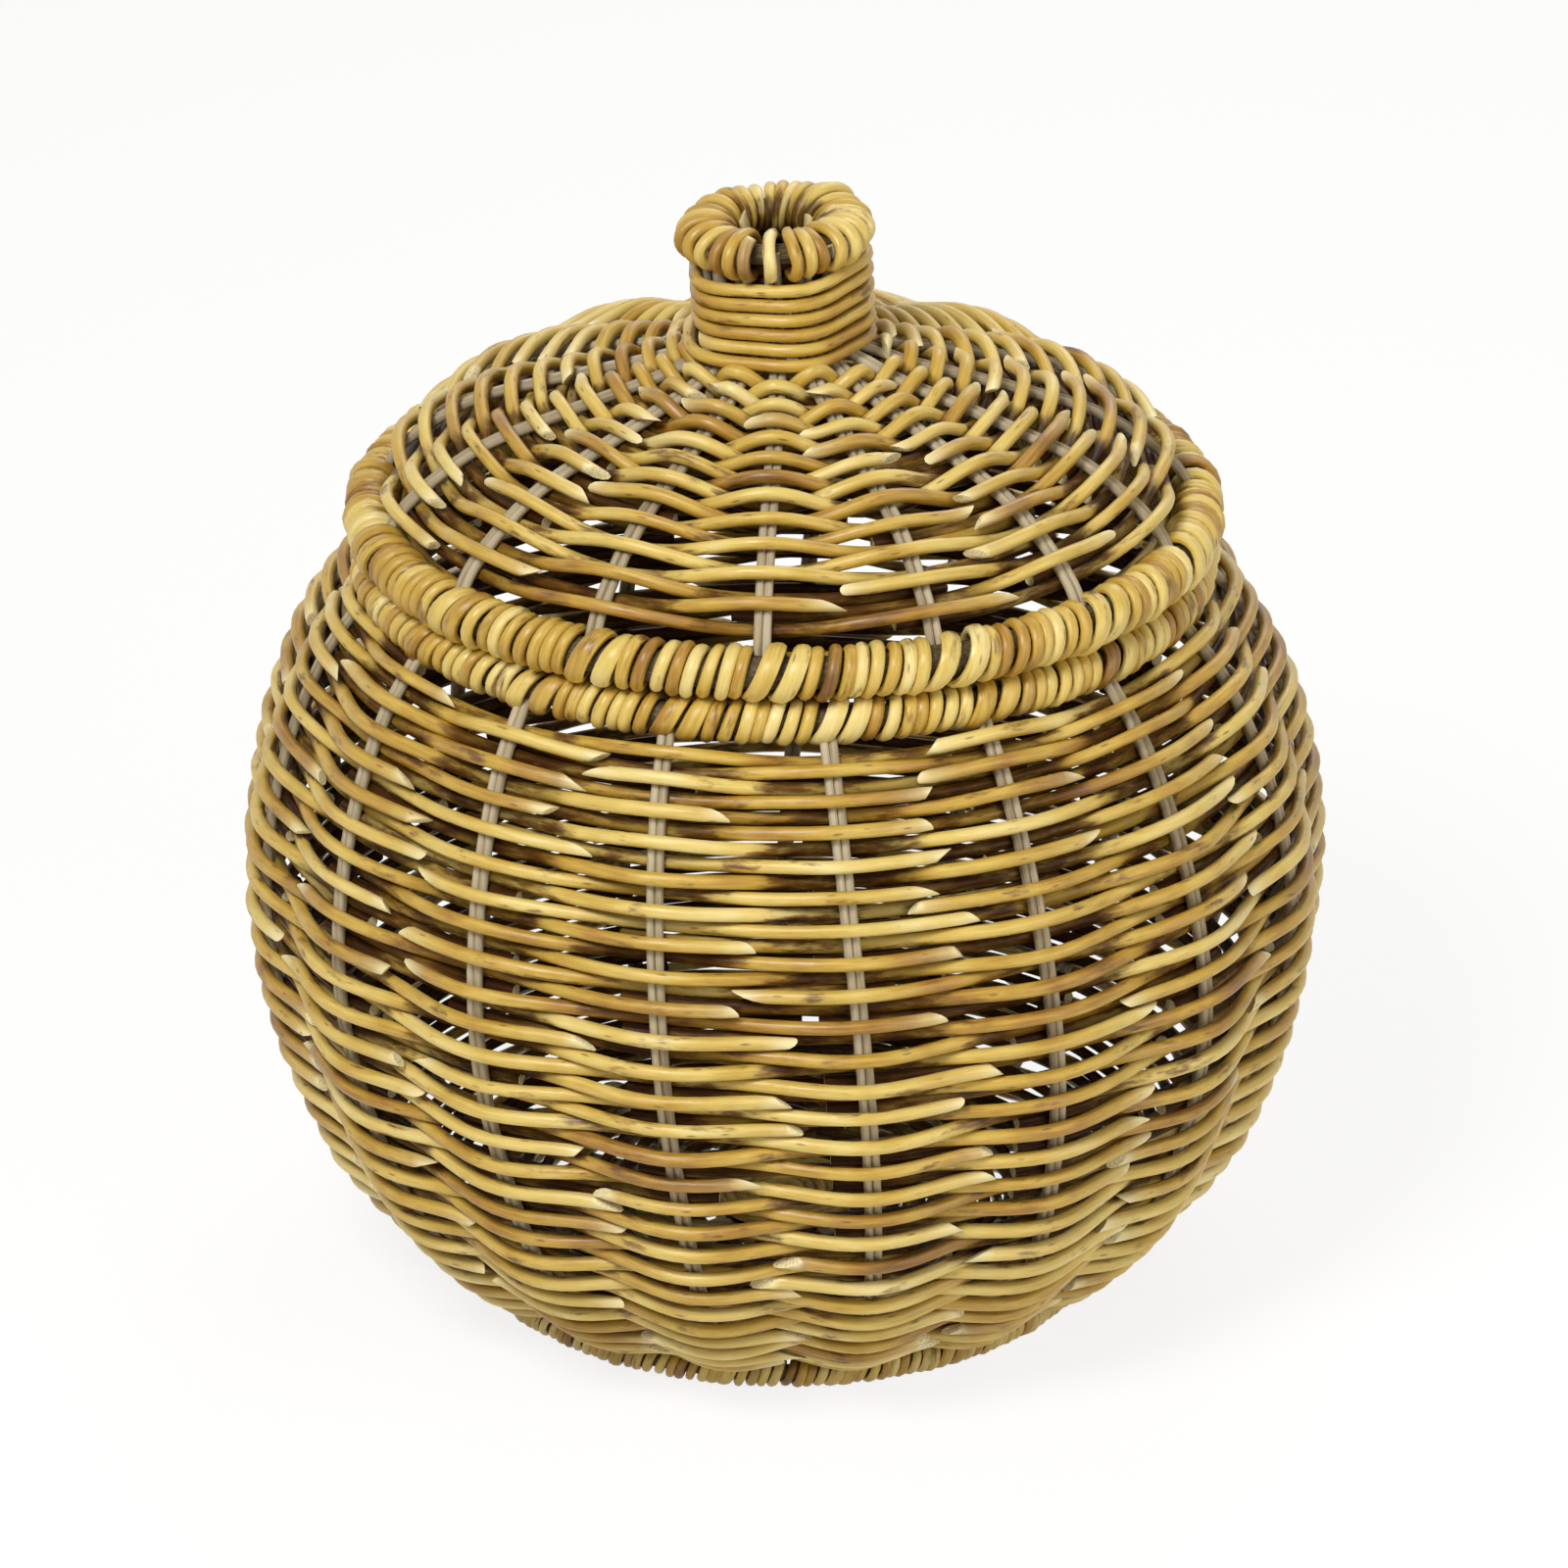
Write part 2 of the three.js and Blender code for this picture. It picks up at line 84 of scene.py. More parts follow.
# Joints of the strands, counted in stakes: a cut end lies past its stake and a tucked end hides behind it
CUT_PAST = 0.5
TUCK_PAST = 0.2
JOIN_SLACK = (-0.1, 0.2)
WALL_JOINS = (0.42, 0.36)
SLANT_LENGTHS = (3.5, 11.5)
SLANT_LEANS = (1.0, 2.7)
CUT_TAPER = 0.84
CUT_SINK = 0.55
CUT_SINK_REACH = 0.6
TUCK_DEPTH = 0.85
TUCK_WAVE = 0.15
PALE_REACH = 6.5

# Wrapped hoops. A wave is (how much, how fast from turn to turn, where it starts)
HOOP_STEPS = 144
HOOP_SIDES = 14
WRAP_TONES = (-0.05, 1.12)
WRAP_BROWN = -0.15
WRAP_BROWN_SHARE = 0.1
WRAP_FILL = 0.445
WRAP_STEPS = 18
WRAP_RUNS = (5, 16)
WRAP_STARTS = 0.4
WRAP_STOPS = (0.16, 0.32)
WRAP_BEND = 0.2
WRAP_SPACING_WAVES = ((0.12, 1.7, 1.3), (0.1, 0.61, 0))
WRAP_SWELL_WAVES = ((0.05, 2.3, 0.4), (0.04, 5.1, 0))
WRAP_WIDTH_WAVES = ((0.04, 3.1, 0),)
WRAP_SHADE = 0.45
WRAP_SHADE_FROM = 0.2
WRAP_CUT = 3
WRAP_CUT_LENGTHS = (4, 7)
WRAP_CUT_LEAN = 0.8
ASLANT_REACH = 0.42
ASLANT_SWELL = 0.08
ASLANT_WIDTH = 0.22
STRIDE_BEFORE = 0.3
STRIDE_SPAN = 0.6
STRIDE_BACK = 0.25

# Body: radius and height of the middle of its wall, from the base out and up to the rim
BODY_STAKES = 17
BODY_STAKE_AZIMUTH = -81
BODY_STAKE_LEAN = -0.023
BODY_STAKE_START = -1
LEAN_LEVEL = 148
BASE_LEVEL = 17.84
BODY_SPINE = [
    (28.4, BASE_LEVEL),
    (121, BASE_LEVEL),
    (131.5, BASE_LEVEL + 0.2),
    (158, 41.5),
    (181, 77),
    (203, 155),
    (198.5, 215),
    (178.5, 268),
    (157, 296),
]

# Wall: pitch of its rows at shares of its way up, and how straight its strands run, 1 for a chord
WALL_START_RADIUS = 121.5
WALL_DIVIDE = 150
WALL_PITCHES = (4.8, 5.6, 6.0, 6.0, 5.0)
WALL_PITCH_SHARES = (0, 0.11, 0.34, 0.88, 1)
WALL_STRANDS = (4.3, STRAND)
WALL_STRAND_LEVELS = (BASE_LEVEL + 1, 60)
WALL_CHORDS = (0.8, 0.35)
WALL_CHORD_LEVELS = (40, 300)

# Base
BASE_START_RADIUS = 33
BASE_END_RADIUS = 118.5
BASE_PITCH = 5.0
BASE_STRAND = 4.6
BASE_CHORDS = 0.6
BASE_JOINS = (0.2, 0.2)
COIL_STRAND = 4.3
COIL_START = 2.2
COIL_TURNS = (0.4, 6.2)
COIL_STEPS = 220
COIL_APART = 3.9
COIL_SHADE = 0.3

# Rim and foot
RIM_RADIUS = 157
RIM_HEIGHT = 296
RIM_ROD = 9.6
RIM_TUBE = 8.7
RIM_OPEN_GAP = 1.2
RIM_STAKE_AZIMUTH = BODY_STAKE_AZIMUTH + BODY_STAKE_LEAN * (RIM_HEIGHT - LEAN_LEVEL)
RIM_STRAND = 4.0
RIM_TURNS = 9
RIM_STRIDE = 7.5
FOOT_RADIUS = 121
FOOT_HEIGHT = 6.47
FOOT_ROD = 6.0
FOOT_STRAND = 2.9
FOOT_TURNS = 10
FOOT_STRIDE = 2.5
FOOT_STEPS = 14
FOOT_FILL = 0.43

# Lid: heights above the middle of its rim
LID_STAKES = 15
LID_STAKE_AZIMUTH = -93
LID_LEVEL = 315.2
LID_RADIUS = 157.3
LID_ROD = 12.6
LID_TUBE = 10.2
LID_OPEN_GAP = 4.2
LID_STRAND = 4.1
LID_TURNS = 10
LID_STRIDE = 8.8
BAND_RADIUS = 144.3
BAND_LEVEL = 300.8
BAND_ROWS = 4
BAND_PITCH = 4.9
BAND_STRAND = 4.7
BAND_STEPS = 144
BAND_SHIFT = 2.1
BAND_WAVE = 0.3
BAND_WAVES = 7

# Dome
DOME_FIRST_STAKE = 8
DOME_PITCHES = (6.5, 5.0)
DOME_INNER_RADIUS = 33.8
DOME_CHORDS = 0.35
DOME_JOINS = (0.24, 0.2)
DOME_ARCH = 1.14

# Neck: places on its winding are turns past the front, and it has five blunt corners
NECK_STAKE_RADIUS = 27.14
NECK_START = 70.85
NECK_COIL = 32.4
NECK_FRONT = -90
NECK_CORNERS = 5
NECK_CORNER = -72
NECK_FLAT = 1.5
NECK_PITCH = 5.9
NECK_LOOPS = 5
NECK_STRAND = 4.95
NECK_STEPS = 52
NECK_TONE = 0.3
NECK_SHADE = 0.1
NECK_CUT_LEAN = 0.3
LOWEST_COIL = (-0.34, 0.74)
LOWEST_FLARE = 3.8
LOWEST_FLARE_PLACE = 0.12
LOWEST_FLARE_SPAN = 0.34
LOWEST_DROP = 0.9
LOWEST_CUT = 5
UPPER_COILS = (0.81, NECK_LOOPS + 0.42)
UPPER_LOOSE = 1.3
UPPER_LOOSE_PLACE = 0.92
UPPER_LOOSE_SPAN = 0.1
UPPER_CUT = 8
TUCK_IN = 5
TUCK_SPANS = (0.1, 0.14)
FILLING_RADIUS = 23.4
FILLING_COILS = (NECK_LOOPS - 2.2, NECK_LOOPS + 0.6)
FILLING_SIZE = (0.52, 0.4)
FILLING_SHADE = 1.4
FILLING_TONE = -0.6

# Knob: a swell is (how much, where, how wide) round the ring
KNOB_LEVEL = 112.25
KNOB_MIDDLE_RADIUS = 26.1
KNOB_LOOP_WIDTH = 9.8
KNOB_LOOP_HEIGHT = 7.1
KNOB_STRAND = 4.7
KNOB_LOOPS = 28
KNOB_STEPS = 26
KNOB_STARTS = 0.3
KNOB_STOPS = 0.72
KNOB_START_CUT = (3, 0)
KNOB_END_CUT = (5, 0.4)
KNOB_FRONT = -93
KNOB_FRONT_SPACE = 1.9
KNOB_CROWDED = 0.3
KNOB_SPACE_SPREAD = 0.14
KNOB_SIZES = (0.88, 1.08)
KNOB_LONG_LOOP = 0.14
KNOB_SWELLS = ((0.26, 48, 0.22), (0.2, 184, 0.14))
KNOB_SWAY = 0.055
KNOB_SIDE_WIDTH = 0.2
KNOB_WIDE = 1.04
KNOB_NARROW = 0.34
KNOB_ADVANCE = 0.3
KNOB_CROSS_FROM = 0.2
KNOB_CROSS_SPAN = 0.6
KNOB_TILT = 0.05
KNOB_TONES = (-0.3, 1.15)
KNOB_SHADE = 0.75
KNOB_TIPS = ((-70, 13.4, 8), (25, 13.8, 6.5), (150, 13.2, 7.5))
TIP_DROP = 2
TIP_LEAN = 0.12
TIP_TWIST = 0.012
TIP_SIZE = 0.44
TIP_STEPS = 8
TIP_SHADE = 0.2
TIP_CUT = (4, 0.5)
CORE_RADIUS = 24.8
CORE_REACH = 2.2
CORE_RODS = 7
CORE_STEPS = 96
CORE_WAVE = 0.2
CORE_WAVES = 3
KNOB_LEAN = (-0.05, 0.0)
LEAN_FROM = 50
LID_SPINE = [
    (LID_RADIUS, 0),
    (148.5, 15),
    (121, 35.4),
    (90, 46.2),
    (45, 59.4),
    (36.07, 63.41),
    (NECK_STAKE_RADIUS, NECK_START - 2.6),
    (NECK_STAKE_RADIUS, 86.65),
    (NECK_STAKE_RADIUS + 1.2, KNOB_LEVEL + 2),
]

# Studio
WHITE = (1, 1, 1, 1)
SURROUND_TINT = (1.0, 0.92, 0.78, 1)
SURROUND_LIGHT = 0.26
FLOOR_RADIUS = 6
FLOOR_SIDES = 96
FLOOR_GLOW = 1.05
FLOOR_GLOW_SHARE = 0.8
LAMP_AIM = (0, 0, 0.2)
LAMPS = (
    ("key_lamp", (-0.7, -1.4, 1.9), 0.8, 37),
    ("fill_lamp", (1.5, -1.2, 1.0), 1.2, 11),
    ("back_lamp", (0.4, 1.4, 1.6), 1.2, 10),
)


def turned_to(place, aim):
    """The rotation that turns a camera or a lamp from its place to an aim."""
    return (Vector(aim) - Vector(place)).to_track_quat("-Z", "Y").to_euler()


def camera():
    """The camera at the photograph's viewing angle."""
    seen = bpy.data.objects.new("camera", bpy.data.cameras.new("camera"))
    bpy.context.scene.collection.objects.link(seen)
    seen.location = CAMERA_PLACE
    seen.rotation_euler = turned_to(CAMERA_PLACE, CAMERA_AIM)
    seen.data.lens = CAMERA_LENS
    seen.data.sensor_width = CAMERA_SENSOR
    bpy.context.scene.camera = seen


camera()
chance = random.Random(SEED)


# Finishes


def srgb(red, green, blue):
    """A colour from its screen values, 0 to 255, as the shaders take it."""
    def linear(value):
        value /= 255
        return value / 12.92 if value <= 0.04045 else ((value + 0.055) / 1.055) ** 2.4
    return (linear(red), linear(green), linear(blue), 1)


class Nodes:
    """A tree of shader nodes, added and joined one at a time."""

    def __init__(self, tree):
        self.nodes = tree.nodes
        self.links = tree.links

    def node(self, kind, settings=(), **inputs):
        """Adds a node; an input goes by its name, or by its number as i0, i1 and so on."""
        made = self.nodes.new(kind)
        for key, value in dict(settings).items():
            setattr(made, key, value)
        for key, value in inputs.items():
            self.feed(made, key, value)
        return made

    def feed(self, made, key, value):
        socket = made.inputs[int(key[1:])] if key[0] == "i" and key[1:].isdigit() else made.inputs[key]
        if isinstance(value, bpy.types.NodeSocket):
            self.links.new(value, socket)
        else:
            socket.default_value = value

    def math(self, operation, first, second=0.0, clamp=False):
        settings = {"operation": operation, "use_clamp": clamp}
        return self.node("ShaderNodeMath", settings, i0=first, i1=second).outputs[0]

    def spread(self, value, low, high, to_low=0.0, to_high=1.0):
        made = self.node(
            "ShaderNodeMapRange", {"interpolation_type": "SMOOTHSTEP"},
            i0=value, i1=low, i2=high, i3=to_low, i4=to_high,
        )
        return made.outputs[0]

    def mix(self, share, first, second):
        return self.node("ShaderNodeMix", {"data_type": "RGBA"}, i0=share, i6=first, i7=second).outputs[2]

    def noise(self, coordinates, stretch, detail=2.0, roughness=0.55):
        placed = self.node("ShaderNodeMapping", Vector=coordinates, Scale=stretch)
        made = self.node(
            "ShaderNodeTexNoise", Vector=placed.outputs[0], Scale=1.0, Detail=detail, Roughness=roughness,
        )
        return made.outputs[0]

    def ramp(self, value, stops):
        made = self.node("ShaderNodeValToRGB", Fac=value)
        elements = made.color_ramp.elements
        while len(elements) < len(stops):
            elements.new(0.5)
        for element, (place, colour) in zip(elements, stops):
            element.position = place
            element.color = colour
        return made.outputs[0]

    def attribute(self, name):
        return self.node("ShaderNodeAttribute", {"attribute_name": name}).outputs["Vector"]

    def shown(self):
        """1 for a ray that shows things to the camera, also mirrored or through glass, else 0."""
        ray = self.node("ShaderNodeLightPath").outputs
        first = self.math("MAXIMUM", ray["Is Camera Ray"], ray["Is Glossy Ray"])
        return self.math("MAXIMUM", first, ray["Is Transmission Ray"])


class Finish(Nodes):
    """A material with its nodes."""

    def __init__(self, name):
        self.material = bpy.data.materials.new(name)
        self.material.use_nodes = True
        super().__init__(self.material.node_tree)
        self.shader = self.nodes["Principled BSDF"]

    def give(self, key, value):
        """Sets one of the surface's own values."""
        self.feed(self.shader, key, value)

    def raise_by(self, height, strength, distance):
        """Lets a height stand up from the surface."""
        bump = self.node("ShaderNodeBump", Strength=strength, Distance=distance, Height=height)
        self.give("Normal", bump.outputs[0])


SHADED = srgb(58, 29, 3)
DARK_STAIN_AND_SHADE = srgb(54, 26, 4)
BROWN = srgb(108, 70, 20)
AMBER = srgb(162, 118, 38)
GOLD = srgb(194, 158, 62)
STRAW = srgb(217, 190, 102)
PALE = srgb(234, 215, 150)
FRESH_CUT = srgb(243, 230, 178)
CREAM = srgb(244, 234, 200)
STAKE_SHADE = srgb(112, 96, 70)
STAKE_DULL = srgb(158, 142, 112)
STAKE_GREY = srgb(186, 172, 142)
STAKE_LIGHT = srgb(208, 196, 168)
HOOP_SHADE = srgb(48, 36, 18)
HOOP_BROWN = srgb(84, 68, 38)
HOOP_LIGHT = srgb(126, 108, 68)
FLOOR_PALE = srgb(244, 244, 243)


def strand_finish(name, warmth=0.0, roughness=0.38):
    """Peeled strand: golden with amber and pale lengths, brown stains, fine fibres and a soft shine, with
    painted shade from its shade mark.
    """
    made = Finish(name)
    lay = made.attribute("lay")
    tone, end, painted_shade = made.node("ShaderNodeSeparateXYZ", Vector=made.attribute("marks")).outputs
    lengths = made.noise(lay, (24, 40, 40), 3)
    streaks = made.noise(lay, (60, 620, 620), 3, 0.62)
    fibres = made.noise(lay, (330, 3000, 3000), 2)
    blend = made.math("ADD", made.math("MULTIPLY", lengths, 0.95), made.math("MULTIPLY", streaks, 0.5))
    blend = made.math("ADD", blend, made.math("MULTIPLY", tone, 0.42))
    blend = made.math("SUBTRACT", blend, 0.44 + warmth)
    colour = made.ramp(blend, [(0.06, BROWN), (0.25, AMBER), (0.44, GOLD), (0.66, STRAW), (0.92, PALE)])
    stains = made.noise(lay, (46, 170, 170), 4, 0.6)
    # Brown stains from noise, made stronger where the strand carries painted shade and weaker near a fresh
    # cut
    stains_and_shade = made.math("ADD", stains, made.math("MULTIPLY", painted_shade, 0.22))
    stains_and_shade = made.math("SUBTRACT", stains_and_shade, made.math("MULTIPLY", end, 0.5))
    colour = made.mix(made.spread(stains_and_shade, 0.58, 0.72, 0.0, 0.88), colour, BROWN)
    colour = made.mix(made.spread(stains_and_shade, 0.68, 0.84, 0.0, 0.9), colour, DARK_STAIN_AND_SHADE)
    colour = made.mix(made.math("MULTIPLY", end, 0.85, True), colour, FRESH_CUT)
    # Painted shade: the strand's shade mark darkens it towards SHADED, and further down it also dulls the
    # shine where it is shaded
    colour = made.mix(made.spread(painted_shade, 0.2, 1.2, 0.0, 0.72), colour, SHADED)
    spotted = made.node("ShaderNodeMapping", Vector=lay, Scale=(60, 260, 260)).outputs[0]
    specks = made.node("ShaderNodeTexVoronoi", Vector=spotted, Scale=1.0).outputs["Distance"]
    made.give("Base Color", made.mix(made.spread(specks, 0.05, 0.16, 0.7, 0.0), colour, BROWN))
    made.give("Roughness", made.spread(streaks, 0.3, 0.7, roughness - 0.08, roughness + 0.12))
    made.give("Specular IOR Level", made.spread(painted_shade, 0.1, 0.9, 0.55, 0.12))
    made.raise_by(made.math("ADD", made.math("MULTIPLY", fibres, 0.35), streaks), 0.28, 0.0006)
    return made.material


def cut_finish(name):
    """The slanted cut of a strand: pale pith with small dark pores."""
    made = Finish(name)
    place = made.node("ShaderNodeTexCoord").outputs["Object"]
    pores = made.noise(place, (1500, 1500, 1500), 3, 0.7)
    made.give("Base Color", made.ramp(pores, [(0.32, AMBER), (0.44, PALE), (0.6, CREAM)]))
    made.give("Roughness", 0.75)
    made.raise_by(pores, 0.3, 0.0004)
    return made.material


def stake_finish(name):
    """Weathered grey-tan stake rod with darker runs along it."""
    made = Finish(name)
    lay = made.attribute("lay")
    tone = made.node("ShaderNodeSeparateXYZ", Vector=made.attribute("marks")).outputs[0]
    runs = made.noise(lay, (40, 900, 900), 3, 0.65)
    lengths = made.noise(lay, (18, 30, 30), 2)
    blend = made.math("ADD", made.math("MULTIPLY", runs, 0.7), made.math("MULTIPLY", lengths, 0.4))
    blend = made.math("ADD", blend, made.math("MULTIPLY", tone, 0.2))
    blend = made.math("SUBTRACT", blend, 0.15)
    stops = [(0.2, STAKE_SHADE), (0.38, STAKE_DULL), (0.56, STAKE_GREY), (0.8, STAKE_LIGHT)]
    made.give("Base Color", made.ramp(blend, stops))
    made.give("Roughness", made.spread(runs, 0.3, 0.7, 0.6, 0.8))
    made.raise_by(runs, 0.3, 0.0005)
    return made.material


def hoop_finish(name):
    """Rough brown hoop rod that shows between the wrapping turns."""
    made = Finish(name)
    place = made.node("ShaderNodeTexCoord").outputs["Object"]
    grain = made.noise(place, (420, 420, 1400), 4, 0.65)
    made.give("Base Color", made.ramp(grain, [(0.3, HOOP_SHADE), (0.5, HOOP_BROWN), (0.72, HOOP_LIGHT)]))
    made.give("Roughness", 0.7)
    made.raise_by(grain, 0.3, 0.0006)
    return made.material


WALL_FINISH = strand_finish("wall_strand")
WRAP_FINISH = strand_finish("wrapping_strand", -0.03)
CUT_FINISH = cut_finish("cut_strand_end")
STAKE_FINISH = stake_finish("stake_rod")
HOOP_FINISH = hoop_finish("hoop_rod")


# Strands as meshes


def unit(vectors):
    return vectors / np.linalg.norm(vectors, axis=-1, keepdims=True)


def smooth(value):
    """Eases from 0 to 1."""
    value = np.clip(value, 0, 1)
    return value * value * (3 - 2 * value)


def around(angle, reach, height):
    """Points at angles round the axis, at a reach from it and at a height."""
    angle, reach, height = np.broadcast_arrays(angle, reach, height)
    return np.stack([reach * np.cos(angle), reach * np.sin(angle), height], 1)


def knob_leaned(path):
    """The path of a strand, with the knob standing a little to the left."""
    rise = np.maximum(path[:, 2:] - LID_LEVEL - LEAN_FROM, 0)
    return path + rise * np.array([*KNOB_LEAN, 0])


class Bundle:
    """Round strands gathered into one mesh, with the two attributes that their finish reads.

    The lay is a place along, out of and across the strand, in metres. The marks are its tone, its closeness
    to a fresh cut, and its shade.
    """

    def __init__(self, sides=STRAND_SIDES):
        self.sides = sides
        self.angles = np.arange(sides) * TURN / sides
        self.places, self.lay, self.marks = [], [], []
        self.quads, self.caps = [], []
        self.count = 0

    def strand(self, path, outward, wide, deep=None, painted_shade=0.0, tone=None, start_cut=None, end_cut=None):
        """Adds a strand along a path; a cut is (length, lean) of the slant at that end."""
        path = knob_leaned(np.asarray(path, float))
        steps = np.linalg.norm(np.diff(path, axis=0), axis=1)
        along = np.concatenate([[0], np.cumsum(steps)])
        kept = np.ones(len(path), bool)
        if start_cut:
            kept[1:-1] &= along[1:-1] > start_cut[0]
        if end_cut:
            kept[1:-1] &= along[1:-1] < along[-1] - end_cut[0]
        deep = wide if deep is None else deep
        tone = chance.random() if tone is None else tone
        wide, deep, painted_shade, tone = (
            np.broadcast_to(value, len(path))[kept].copy() for value in (wide, deep, painted_shade, tone)
        )
        path, along, up = path[kept], along[kept], np.asarray(outward, float)[kept]
        count = len(path)
        way = unit(np.gradient(path, axis=0))
        up = unit(up - (up * way).sum(1, keepdims=True) * way)
        side = np.cross(way, up)
        across = np.array([np.cos(self.angles), np.sin(self.angles)])
        for cut, ring in ((start_cut, 0), (end_cut, -1)):
            if cut:
                wide[ring] *= CUT_TAPER
                deep[ring] *= CUT_TAPER
        rings = (path[:, None]
                 + up[:, None] * (across[0][None, :, None] * deep[:, None, None])
                 + side[:, None] * (across[1][None, :, None] * wide[:, None, None]))
        end = np.zeros(count)
        for cut, ring, direction in ((start_cut, 0, 1), (end_cut, -1, -1)):
            if cut:
                length, lean = cut
                slant = (1 + np.cos(self.angles - lean)) / 2
                rings[ring] += way[ring] * (direction * length * slant)[:, None]
                end = np.maximum(end, np.exp(-np.abs(along - along[ring]) / PALE_REACH))
        offset = chance.uniform(0, 40)
        lay = np.empty((count, self.sides, 3))
        lay[..., 0] = offset + along[:, None] * MM
        lay[..., 1] = across[0][None] * deep[:, None] * MM + offset
        lay[..., 2] = across[1][None] * wide[:, None] * MM
        marks = np.empty((count, self.sides, 3))
        marks[..., 0] = tone[:, None]
        marks[..., 1] = end[:, None]
        # Painted shade: the strand's own shade, plus more on its inner side, which faces into the basket
        marks[..., 2] = painted_shade[:, None] + INSIDE_SHADE * np.maximum(-across[0], 0)[None]
        begins = self.count + np.arange(count - 1)[:, None] * self.sides
        first = begins + np.arange(self.sides)
        turned = begins + (np.arange(self.sides) + 1) % self.sides
        corners = [first, turned, turned + self.sides, first + self.sides]
        self.quads.append(np.stack(corners, -1).reshape(-1, 4))
        last = self.count + (count - 1) * self.sides
        self.caps.append([self.count + i for i in reversed(range(self.sides))])
        self.caps.append([last + i for i in range(self.sides)])
        self.places.append(rings.reshape(-1, 3))
        self.lay.append(lay.reshape(-1, 3))
        self.marks.append(marks.reshape(-1, 3))
        self.count += count * self.sides

    def piece(self, name, finish):
        """The strands as one object, which stands at the origin."""
        mesh = bpy.data.meshes.new(name)
        faces = np.concatenate(self.quads).tolist() + self.caps
        mesh.from_pydata((np.concatenate(self.places) * MM).tolist(), [], faces)
        for key, values in (("lay", self.lay), ("marks", self.marks)):
            attribute = mesh.attributes.new(key, "FLOAT_VECTOR", "POINT")
            attribute.data.foreach_set("vector", np.concatenate(values).astype(np.float32).ravel())
        mesh.materials.append(finish)
        mesh.materials.append(CUT_FINISH)
        quads = len(faces) - len(self.caps)
        caps = np.arange(len(faces)) >= quads
        mesh.polygons.foreach_set("material_index", caps.astype(np.int32))
        mesh.polygons.foreach_set("use_smooth", ~caps)
        made = bpy.data.objects.new(name, mesh)
        bpy.context.scene.collection.objects.link(made)
        deselect()
        made.select_set(True)
        bpy.context.view_layer.objects.active = made
        bpy.ops.object.shade_smooth_by_angle(angle=math.radians(SMOOTH_ANGLE))
        return made


def deselect():
    bpy.ops.object.select_all(action="DESELECT")


def dress(piece, body, slot, *nodes):
    """Lets a piece ride on its body and stand for its nodes. The slot is not used."""
    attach(piece, body)
    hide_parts(*nodes)


class Spine:
    """A smooth curve through (radius, height) points, read by length along it."""

    def __init__(self, points):
        points = np.array(points, float)
        padded = np.vstack([2 * points[0] - points[1], points, 2 * points[-1] - points[-2]])
        share = np.linspace(0, 1, CURVE_STEPS, endpoint=False)[:, None]
        runs = []
        for before, start, end, after in zip(padded, padded[1:], padded[2:], padded[3:]):
            pairs = ((before, start), (start, end), (end, after))
            first, middle, last = (math.dist(one, other) ** 0.5 for one, other in pairs)
            leave = (start - before) / first - (end - before) / (first + middle) + (end - start) / middle
            arrive = (end - start) / middle - (after - start) / (middle + last) + (after - end) / last
            leave, arrive = leave * middle, arrive * middle
            runs.append(start + leave * share + (3 * (end - start) - 2 * leave - arrive) * share ** 2
                        + (2 * (start - end) + leave + arrive) * share ** 3)
        self.places = np.vstack([*runs, points[-1:]])
        steps = np.linalg.norm(np.diff(self.places, axis=0), axis=1)
        self.along = np.concatenate([[0], np.cumsum(steps)])
        self.length = self.along[-1]
        way = unit(np.gradient(self.places, axis=0))
        self.outward = np.stack([way[:, 1], -way[:, 0]], 1)

    def at(self, along):
        """Radius, height and the outward direction's two parts at lengths along the curve."""
        return [np.interp(along, self.along, column) for column in (*self.places.T, *self.outward.T)]

    def along_at_radius(self, radius):
        """The length at which the curve first passes a radius."""
        outwards = self.places[0, 0] < radius
        passed = self.places[:, 0] >= radius if outwards else self.places[:, 0] <= radius
        return self.along[np.argmax(passed)]


body_spine = Spine(BODY_SPINE)
lid_spine = Spine(LID_SPINE)


def body_lean(height):
    """How far the body's stakes have turned round the axis at a height."""
    return np.radians(BODY_STAKE_LEAN * (height - LEAN_LEVEL))


def upright(height):
    """The lid's stakes don't turn."""
    return np.zeros_like(height)


def steady(value):
    """A measure that stays the same all along."""
    return lambda along: np.full_like(along, value)


def joins(first, last, right_share, left_share):
    """Where a weaver ends one strand and starts the next: (start, cut?, end, cut?) in stakes passed."""
    strands = []
    start, start_cut = first, False
    held = False
    for stake in range(2 * math.ceil((first + 1) / 2), last - 2, 2):
        pick = chance.random()
        slack = chance.uniform(*JOIN_SLACK)
        if pick < right_share:
            strands.append((start, start_cut, stake + CUT_PAST + slack, True))
            start, start_cut, held = stake - TUCK_PAST, False, True
        elif pick < right_share + left_share and not held:
            strands.append((start, start_cut, stake + TUCK_PAST, False))
            start, start_cut = stake - CUT_PAST - slack, True
        else:
            held = False
    strands.append((start, start_cut, last, False))
    return strands


def slant():
    """Length and lean of a slanted cut, which faces up or down along the wall and at times inwards."""
    return chance.uniform(*SLANT_LENGTHS), chance.choice((-1, 1)) * chance.uniform(*SLANT_LEANS)


